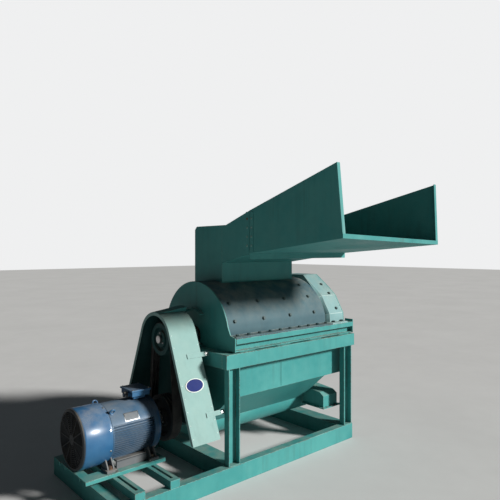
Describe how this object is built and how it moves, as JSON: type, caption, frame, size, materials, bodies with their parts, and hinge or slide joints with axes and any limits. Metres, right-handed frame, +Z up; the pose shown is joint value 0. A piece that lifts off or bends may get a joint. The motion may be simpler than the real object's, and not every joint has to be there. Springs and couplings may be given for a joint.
{
  "type": "hammer mill",
  "caption": "Belt-driven hammer mill on a channel-steel skid: split drum housing, wide open feed trough on a neck, screw conveyor below, foot-mounted motor and A-shaped belt guard.",
  "frame": {"origin": "middle of the machine's length and width, on the floor", "axes": "+X along the rotor and motor shafts, from the motor end to the mill end; -Y towards the feeding side, where the trough's open mouth is; +Z up"},
  "size_m": [2.315, 1.7466, 2.13],
  "materials": {
    "teal_paint": "semi-gloss teal-green enamel with dust and worn edges",
    "slate_paint": "semi-gloss slate-teal enamel, slightly chalked",
    "mint_paint": "gloss pale mint enamel on folded sheet",
    "blue_paint": "semi-gloss blue motor enamel",
    "grey_paint": "satin grey paint",
    "black_paint": "satin black paint",
    "belt_rubber": "dusty black belt rubber",
    "bright_steel": "turned steel with an oil film",
    "worn_steel": "dark wear-resistant steel, polished by use",
    "cast_iron": "painted cast iron, oily and dusty"
  },
  "bodies": {
    "frame": {"skid_front_rail": "teal_paint", "skid_rear_rail": "teal_paint", "skid_left_end": "teal_paint", "skid_left_cross": "teal_paint", "skid_right_cross": "teal_paint", "leg_front_left": "teal_paint", "leg_front_right": "teal_paint", "leg_rear_left": "teal_paint", "leg_rear_right": "teal_paint", "top_rail_front": "teal_paint", "top_rail_rear": "teal_paint", "top_rail_left": "teal_paint", "top_rail_right": "teal_paint", "sill_front": "teal_paint", "sill_rear": "teal_paint", "end_plate_left": "teal_paint", "divider_plate": "teal_paint", "end_plate_right": "teal_paint", "front_panel": "teal_paint", "rear_panel": "teal_paint", "end_hood": "teal_paint", "inlet_neck": "teal_paint", "feed_transition": "teal_paint", "feed_trough": "teal_paint", "discharge_hopper": "teal_paint", "conveyor_trough": "teal_paint", "discharge_spout": "teal_paint", "slide_rail_left": "teal_paint", "slide_rail_right": "teal_paint", "main_cover": "slate_paint", "breaker_liner": "worn_steel", "screen": "bright_steel", "bearing_left": "cast_iron", "bearing_right": "cast_iron", "drive_belt": "belt_rubber", "belt_guard": "mint_paint"},
    "rotor": {"rotor_shaft": "bright_steel", "rotor_discs": "worn_steel", "fan_wheel": "teal_paint", "driven_pulley": "teal_paint", "hammer_rod_1": "bright_steel", "hammer_rod_2": "bright_steel", "hammer_rod_3": "bright_steel", "hammer_rod_4": "bright_steel"},
    "hammers_1": {"hammer_row_1": "worn_steel"},
    "hammers_2": {"hammer_row_2": "worn_steel"},
    "hammers_3": {"hammer_row_3": "worn_steel"},
    "hammers_4": {"hammer_row_4": "worn_steel"},
    "screw": {"conveyor_shaft": "bright_steel", "conveyor_flight": "bright_steel"},
    "motor": {"motor_base": "teal_paint", "motor_frame": "blue_paint", "motor_end_shield": "blue_paint", "motor_fan_cowl": "blue_paint", "terminal_box": "blue_paint", "terminal_lid": "grey_paint"},
    "motor_rotor": {"motor_shaft": "bright_steel", "motor_fan": "black_paint", "motor_pulley": "black_paint"}
  },
  "joints": [
    {"name": "rotor_spin", "type": "hinge", "parent": "frame", "child": "rotor", "pos_m": [0.0375, 0.38325, 0.96], "axis": [1, 0, 0], "continuous": true},
    {"name": "hammer_row_1_swing", "type": "hinge", "parent": "rotor", "child": "hammers_1", "pos_m": [0.3225, 0.5176, 1.09435], "axis": [1, 0, 0], "range_deg": [-10, 280]},
    {"name": "hammer_row_2_swing", "type": "hinge", "parent": "rotor", "child": "hammers_2", "pos_m": [0.3225, 0.2489, 1.09435], "axis": [1, 0, 0], "range_deg": [-280, 10]},
    {"name": "hammer_row_3_swing", "type": "hinge", "parent": "rotor", "child": "hammers_3", "pos_m": [0.3225, 0.2489, 0.82565], "axis": [1, 0, 0], "range_deg": [-190, 100]},
    {"name": "hammer_row_4_swing", "type": "hinge", "parent": "rotor", "child": "hammers_4", "pos_m": [0.3225, 0.5176, 0.82565], "axis": [1, 0, 0], "range_deg": [-100, 190]},
    {"name": "screw_spin", "type": "hinge", "parent": "frame", "child": "screw", "pos_m": [0.3375, 0.38325, 0.325], "axis": [1, 0, 0], "continuous": true},
    {"name": "motor_slide", "type": "slide", "parent": "frame", "child": "motor", "axis": [0, 1, 0], "range_m": [-0.04, 0.04], "deforming": ["drive_belt"]},
    {"name": "motor_spin", "type": "hinge", "parent": "motor", "child": "motor_rotor", "pos_m": [-0.7625, 0.38325, 0.4], "axis": [1, 0, 0], "continuous": true}
  ],
  "couplings": [
    {"joint": "motor_spin", "follows": "rotor_spin", "ratio": 0.71875}
  ]
}
